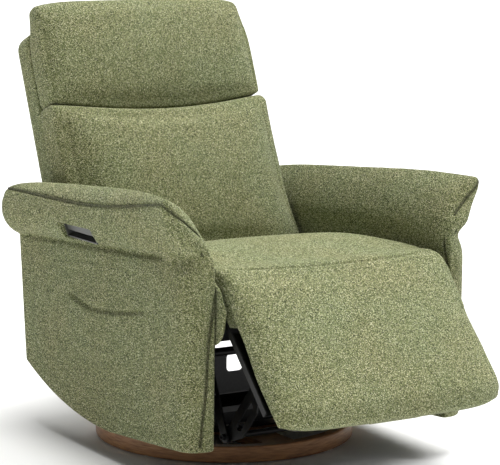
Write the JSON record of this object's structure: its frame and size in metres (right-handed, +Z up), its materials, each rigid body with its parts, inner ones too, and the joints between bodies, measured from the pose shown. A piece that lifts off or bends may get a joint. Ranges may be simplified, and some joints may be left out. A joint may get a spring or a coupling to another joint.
{
  "type": "swivel_recliner",
  "caption": "Upholstered swivel recliner with flared padded arms, half-open footrest, reclining back with headrest, arm pull handle and round wooden ring base.",
  "frame": {"origin": "Swivel axis at floor level, on the flat underside of the centre glide.", "axes": "+Z up, the sitter faces -Y, +X is the sitter's left; rest pose is the picture's half-open footrest."},
  "size_m": [0.8722, 1.315, 1.0526],
  "materials": {
    "walnut_stained_wood": "satin",
    "nylon": "matte",
    "zinc_plated_steel": "satin",
    "black_enamelled_steel": "gloss",
    "plywood": "matte",
    "beech_timber": "matte",
    "elastic_webbing": "matte",
    "black_dust_cloth": "matte",
    "grey_plastic": "matte",
    "green_chenille": "matte"
  },
  "bodies": {
    "base": {"base_ring": "walnut_stained_wood", "base_long_plank": "walnut_stained_wood", "base_short_plank": "walnut_stained_wood", "base_glides": "nylon", "swivel_lower_plate": "black_enamelled_steel", "swivel_bearing": "nylon", "swivel_pin": "zinc_plated_steel", "swivel_screws": "zinc_plated_steel"},
    "chassis": {"swivel_upper_plate": "black_enamelled_steel", "front_cross_tube": "black_enamelled_steel", "rear_cross_tube": "black_enamelled_steel", "slide_rails": "zinc_plated_steel", "arm_brackets": "black_enamelled_steel", "arm_bolts": "zinc_plated_steel", "left_arm_frame": "plywood", "right_arm_frame": "plywood", "left_arm_panel": "green_chenille", "right_arm_panel": "green_chenille", "left_arm_lining": "green_chenille", "right_arm_lining": "green_chenille", "left_arm_pad": "green_chenille", "right_arm_pad": "green_chenille", "side_pocket": "green_chenille", "release_cup": "grey_plastic", "release_pin": "zinc_plated_steel"},
    "handle": {"release_lever": "grey_plastic"},
    "seat": {"left_side_plate": "black_enamelled_steel", "right_side_plate": "black_enamelled_steel", "slide_shoes": "nylon", "seat_front_rail": "black_enamelled_steel", "seat_rear_rail": "beech_timber", "seat_side_rails": "beech_timber", "seat_webbing": "elastic_webbing", "seat_dust_cover": "black_dust_cloth", "seat_channel": "black_enamelled_steel", "seat_cushion": "green_chenille", "left_seat_border": "green_chenille", "right_seat_border": "green_chenille", "pivot_pins": "zinc_plated_steel"},
    "footrest": {"footrest_board": "plywood", "footrest_pad": "green_chenille", "left_footrest_bracket": "black_enamelled_steel", "right_footrest_bracket": "black_enamelled_steel", "footrest_link_pins": "zinc_plated_steel"},
    "drive": {"torque_tube": "black_enamelled_steel", "tie_rod": "black_enamelled_steel", "left_crank": "black_enamelled_steel", "right_crank": "black_enamelled_steel"},
    "links": {"left_push_link": "black_enamelled_steel", "right_push_link": "black_enamelled_steel"},
    "back": {"back_side_rails": "beech_timber", "back_cross_rails": "beech_timber", "back_webbing": "elastic_webbing", "back_shell": "green_chenille", "lumbar_cushion": "green_chenille", "headrest_board": "plywood", "headrest_cushion": "green_chenille", "left_back_bracket": "black_enamelled_steel", "right_back_bracket": "black_enamelled_steel"}
  },
  "joints": [
    {"name": "swivel", "type": "hinge", "parent": "base", "child": "chassis", "pos_m": [0, 0, 0], "axis": [0, 0, 1], "continuous": true},
    {"name": "back_recline", "type": "hinge", "parent": "seat", "child": "back", "pos_m": [0, 0.17, 0.45], "axis": [-1, 0, 0], "range_deg": [-12, 25]},
    {"name": "seat_glide", "type": "slide", "parent": "chassis", "child": "seat", "axis": [0, -1, 0], "range_m": [-0.0195, 0.0405]},
    {"name": "footrest_lift", "type": "hinge", "parent": "seat", "child": "footrest", "pos_m": [0, -0.457, 0.432], "axis": [-1, 0, 0], "range_deg": [-42, 41]},
    {"name": "crank_turn", "type": "hinge", "parent": "seat", "child": "drive", "pos_m": [0, -0.334, 0.288], "axis": [-1, 0, 0], "range_deg": [-42.5, 41.5]},
    {"name": "link_turn", "type": "hinge", "parent": "drive", "child": "links", "pos_m": [0, -0.42426, 0.11103], "axis": [-1, 0, 0], "range_deg": [-41.5, 42.5]},
    {"name": "handle_pull", "type": "hinge", "parent": "chassis", "child": "handle", "pos_m": [-0.4023, 0, 0.54832], "axis": [0, 1, 0], "range_deg": [0, 25], "stiffness_Nm_per_rad": 0.4}
  ],
  "couplings": [
    {"joint": "seat_glide", "follows": "back_recline", "m_per_rad": 0.0917},
    {"joint": "crank_turn", "follows": "footrest_lift", "ratio": 1},
    {"joint": "link_turn", "follows": "footrest_lift", "ratio": -1}
  ]
}
